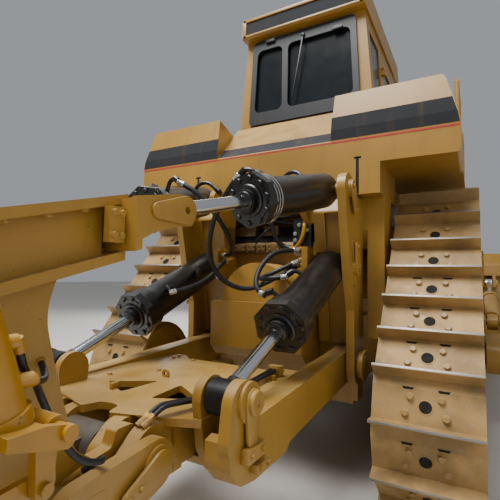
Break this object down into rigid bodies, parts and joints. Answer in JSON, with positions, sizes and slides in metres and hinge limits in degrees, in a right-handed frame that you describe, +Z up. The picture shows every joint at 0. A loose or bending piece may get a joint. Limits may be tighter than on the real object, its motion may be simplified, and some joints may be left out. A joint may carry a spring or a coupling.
{
  "type": "crawler bulldozer",
  "caption": "Large crawler bulldozer with raised sprockets, semi-universal blade and single-shank rear ripper.",
  "frame": {"origin": "on the ground under the middle of the whole machine", "axes": "+Z up, the blade faces -Y, the ripper is at +Y, +X is the machine's left"},
  "size_m": [4.8454, 9.2292, 4.46],
  "materials": {
    "yellow_paint": "satin machine paint, dusty",
    "track_steel": "worn paint over cast steel",
    "black_paint": "gloss black paint",
    "dark_paint": "charcoal paint",
    "chrome": "polished",
    "bare_steel": "worn steel",
    "glass": "tinted",
    "seat_vinyl": "matt vinyl",
    "dark_plastic": "moulded",
    "hose_rubber": "smooth rubber"
  },
  "bodies": {
    "tractor": {"track_left": "track_steel", "track_right": "track_steel", "roller_frames": "yellow_paint", "idlers_and_rollers": "yellow_paint", "drive_sprockets": "yellow_paint", "main_frame": "yellow_paint", "rear_case": "yellow_paint", "engine_block": "dark_paint", "radiator_guard": "yellow_paint", "front_grille": "dark_paint", "engine_hood": "yellow_paint", "hood_stacks": "dark_paint", "platform": "yellow_paint", "fenders": "yellow_paint", "fuel_tank": "yellow_paint", "cab_shell": "yellow_paint", "cab_glass": "glass", "rear_window_frame": "dark_paint", "cab_roof": "yellow_paint", "operator_seat": "seat_vinyl", "control_console": "dark_paint", "handrails_and_steps": "yellow_paint", "work_lamps": "dark_plastic", "ripper_towers": "yellow_paint", "tilt_hose_right": "hose_rubber", "tilt_cap_hose_right": "hose_rubber", "lift_hose_right": "hose_rubber", "lift_cap_hose_right": "hose_rubber", "tilt_hose_left": "hose_rubber", "lift_hose_left": "hose_rubber"},
    "push_arms": {"push_arms": "yellow_paint"},
    "blade": {"blade": "yellow_paint", "cutting_edge": "bare_steel"},
    "ripper_lift_frame": {"ripper_lift_frame": "yellow_paint", "frame_hoses": "hose_rubber"},
    "ripper_carriage_pins": {"ripper_carriage_pins": "bare_steel"},
    "ripper_carriage": {"ripper_carriage": "yellow_paint", "ripper_shank": "bare_steel", "pin_puller": "yellow_paint", "puller_hoses": "hose_rubber"},
    "cab_door_left": {"cab_door_left": "yellow_paint", "door_glass_left": "glass"},
    "cab_door_right": {"cab_door_right": "yellow_paint", "door_glass_right": "glass"},
    "blade_lift_barrel_left": {"blade_lift_barrel_left": "black_paint"},
    "blade_lift_rod_left": {"blade_lift_rod_left": "chrome"},
    "blade_brace_barrel_left": {"blade_brace_barrel_left": "yellow_paint"},
    "blade_brace_rod_left": {"blade_brace_rod_left": "chrome"},
    "ripper_lift_barrel_left": {"ripper_lift_barrel_left": "black_paint"},
    "ripper_lift_rod_left": {"ripper_lift_rod_left": "chrome"},
    "ripper_tilt_barrel_left": {"ripper_tilt_barrel_left": "black_paint"},
    "ripper_tilt_rod_left": {"ripper_tilt_rod_left": "chrome"},
    "blade_lift_barrel_right": {"blade_lift_barrel_right": "black_paint"},
    "blade_lift_rod_right": {"blade_lift_rod_right": "chrome"},
    "blade_brace_barrel_right": {"blade_brace_barrel_right": "yellow_paint"},
    "blade_brace_rod_right": {"blade_brace_rod_right": "chrome"},
    "ripper_lift_barrel_right": {"ripper_lift_barrel_right": "black_paint"},
    "ripper_lift_rod_right": {"ripper_lift_rod_right": "chrome"},
    "ripper_tilt_barrel_right": {"ripper_tilt_barrel_right": "black_paint"},
    "ripper_tilt_rod_right": {"ripper_tilt_rod_right": "chrome"}
  },
  "joints": [
    {"name": "blade_raise", "type": "hinge", "parent": "tractor", "child": "push_arms", "pos_m": [0, -0.74755, 0.76], "axis": [-1, 0, 0], "range_deg": [-8, 20]},
    {"name": "blade_pitch", "type": "hinge", "parent": "push_arms", "child": "blade", "pos_m": [0, -3.70255, 0.42], "axis": [1, 0, 0], "range_deg": [-5, 5]},
    {"name": "ripper_raise", "type": "hinge", "parent": "tractor", "child": "ripper_lift_frame", "pos_m": [0, 1.46245, 0.96], "axis": [1, 0, 0], "range_deg": [-24, 20]},
    {"name": "ripper_carriage_hold", "type": "hinge", "parent": "ripper_lift_frame", "child": "ripper_carriage_pins", "pos_m": [0, 3.30245, 0.86], "axis": [1, 0, 0], "range_deg": [-20, 24]},
    {"name": "ripper_pitch", "type": "hinge", "parent": "ripper_carriage_pins", "child": "ripper_carriage", "pos_m": [0, 3.30245, 0.86], "axis": [1, 0, 0], "range_deg": [-4, 12]},
    {"name": "door_left_hinge", "type": "hinge", "parent": "tractor", "child": "cab_door_left", "pos_m": [0.80984, 0.12645, 2.56], "axis": [-0.0787, 0, 0.9969], "range_deg": [0, 85]},
    {"name": "blade_lift_left_swing", "type": "hinge", "parent": "tractor", "child": "blade_lift_barrel_left", "pos_m": [0.88, -3.09755, 2.35], "axis": [1, 0, 0], "range_deg": [-17.01, 6.83]},
    {"name": "blade_lift_left_stroke", "type": "slide", "parent": "blade_lift_barrel_left", "child": "blade_lift_rod_left", "axis": [0, -0.4202, -0.9074], "range_m": [-0.9851, 0.3944]},
    {"name": "blade_brace_left_swing", "type": "hinge", "parent": "push_arms", "child": "blade_brace_barrel_left", "pos_m": [1.75, -2.24755, 1.01], "axis": [1, 0, 0], "range_deg": [-1.4, 1.4]},
    {"name": "blade_brace_left_stroke", "type": "slide", "parent": "blade_brace_barrel_left", "child": "blade_brace_rod_left", "axis": [0, -0.9381, 0.3463], "range_m": [-0.0928, 0.0928]},
    {"name": "ripper_lift_left_swing", "type": "hinge", "parent": "tractor", "child": "ripper_lift_barrel_left", "pos_m": [0.568, 1.61245, 1.69], "axis": [1, 0, 0], "range_deg": [-21.58, 17.99]},
    {"name": "ripper_lift_left_stroke", "type": "slide", "parent": "ripper_lift_barrel_left", "child": "ripper_lift_rod_left", "axis": [0, 0.9219, -0.3873], "range_m": [-0.2511, 0.3012]},
    {"name": "ripper_tilt_left_swing", "type": "hinge", "parent": "tractor", "child": "ripper_tilt_barrel_left", "pos_m": [0.55, 1.75245, 2.26], "axis": [1, 0, 0], "range_deg": [-28.83, 24.04]},
    {"name": "ripper_tilt_left_stroke", "type": "slide", "parent": "ripper_tilt_barrel_left", "child": "ripper_tilt_rod_left", "axis": [-0.1661, 0.9567, -0.2392], "range_m": [-0.1968, 0.0659]},
    {"name": "door_right_hinge", "type": "hinge", "parent": "tractor", "child": "cab_door_right", "pos_m": [-0.80984, 0.12645, 2.56], "axis": [-0.0787, 0, -0.9969], "range_deg": [0, 85]},
    {"name": "blade_lift_right_swing", "type": "hinge", "parent": "tractor", "child": "blade_lift_barrel_right", "pos_m": [-0.88, -3.09755, 2.35], "axis": [1, 0, 0], "range_deg": [-17.01, 6.83]},
    {"name": "blade_lift_right_stroke", "type": "slide", "parent": "blade_lift_barrel_right", "child": "blade_lift_rod_right", "axis": [0, -0.4202, -0.9074], "range_m": [-0.9851, 0.3944]},
    {"name": "blade_brace_right_swing", "type": "hinge", "parent": "push_arms", "child": "blade_brace_barrel_right", "pos_m": [-1.75, -2.24755, 1.01], "axis": [1, 0, 0], "range_deg": [-1.4, 1.4]},
    {"name": "blade_brace_right_stroke", "type": "slide", "parent": "blade_brace_barrel_right", "child": "blade_brace_rod_right", "axis": [0, -0.9381, 0.3463], "range_m": [-0.0928, 0.0928]},
    {"name": "ripper_lift_right_swing", "type": "hinge", "parent": "tractor", "child": "ripper_lift_barrel_right", "pos_m": [-0.568, 1.61245, 1.69], "axis": [1, 0, 0], "range_deg": [-21.58, 17.99]},
    {"name": "ripper_lift_right_stroke", "type": "slide", "parent": "ripper_lift_barrel_right", "child": "ripper_lift_rod_right", "axis": [0, 0.9219, -0.3873], "range_m": [-0.2511, 0.3012]},
    {"name": "ripper_tilt_right_swing", "type": "hinge", "parent": "tractor", "child": "ripper_tilt_barrel_right", "pos_m": [-0.55, 1.75245, 2.26], "axis": [1, 0, 0], "range_deg": [-28.83, 24.04]},
    {"name": "ripper_tilt_right_stroke", "type": "slide", "parent": "ripper_tilt_barrel_right", "child": "ripper_tilt_rod_right", "axis": [0.1661, 0.9567, -0.2392], "range_m": [-0.1968, 0.0659]}
  ],
  "couplings": [
    {"joint": "ripper_carriage_hold", "follows": "ripper_raise", "ratio": -1},
    {"joint": "blade_lift_left_swing", "follows": "blade_raise", "ratio": -0.84789},
    {"joint": "blade_lift_left_stroke", "follows": "blade_raise", "m_per_rad": -2.8208},
    {"joint": "blade_brace_left_swing", "follows": "blade_pitch", "ratio": 0.26934},
    {"joint": "blade_brace_left_stroke", "follows": "blade_pitch", "m_per_rad": 1.0574},
    {"joint": "ripper_lift_left_swing", "follows": "ripper_raise", "ratio": 0.89574},
    {"joint": "ripper_lift_left_stroke", "follows": "ripper_raise", "m_per_rad": -0.71794},
    {"joint": "ripper_tilt_left_swing", "follows": "ripper_raise", "ratio": 1.1967},
    {"joint": "ripper_tilt_left_stroke", "follows": "ripper_pitch", "m_per_rad": -0.9373},
    {"joint": "blade_lift_right_swing", "follows": "blade_raise", "ratio": -0.84789},
    {"joint": "blade_lift_right_stroke", "follows": "blade_raise", "m_per_rad": -2.8208},
    {"joint": "blade_brace_right_swing", "follows": "blade_pitch", "ratio": 0.26934},
    {"joint": "blade_brace_right_stroke", "follows": "blade_pitch", "m_per_rad": 1.0574},
    {"joint": "ripper_lift_right_swing", "follows": "ripper_raise", "ratio": 0.89574},
    {"joint": "ripper_lift_right_stroke", "follows": "ripper_raise", "m_per_rad": -0.71794},
    {"joint": "ripper_tilt_right_swing", "follows": "ripper_raise", "ratio": 1.1967},
    {"joint": "ripper_tilt_right_stroke", "follows": "ripper_pitch", "m_per_rad": -0.9373}
  ]
}
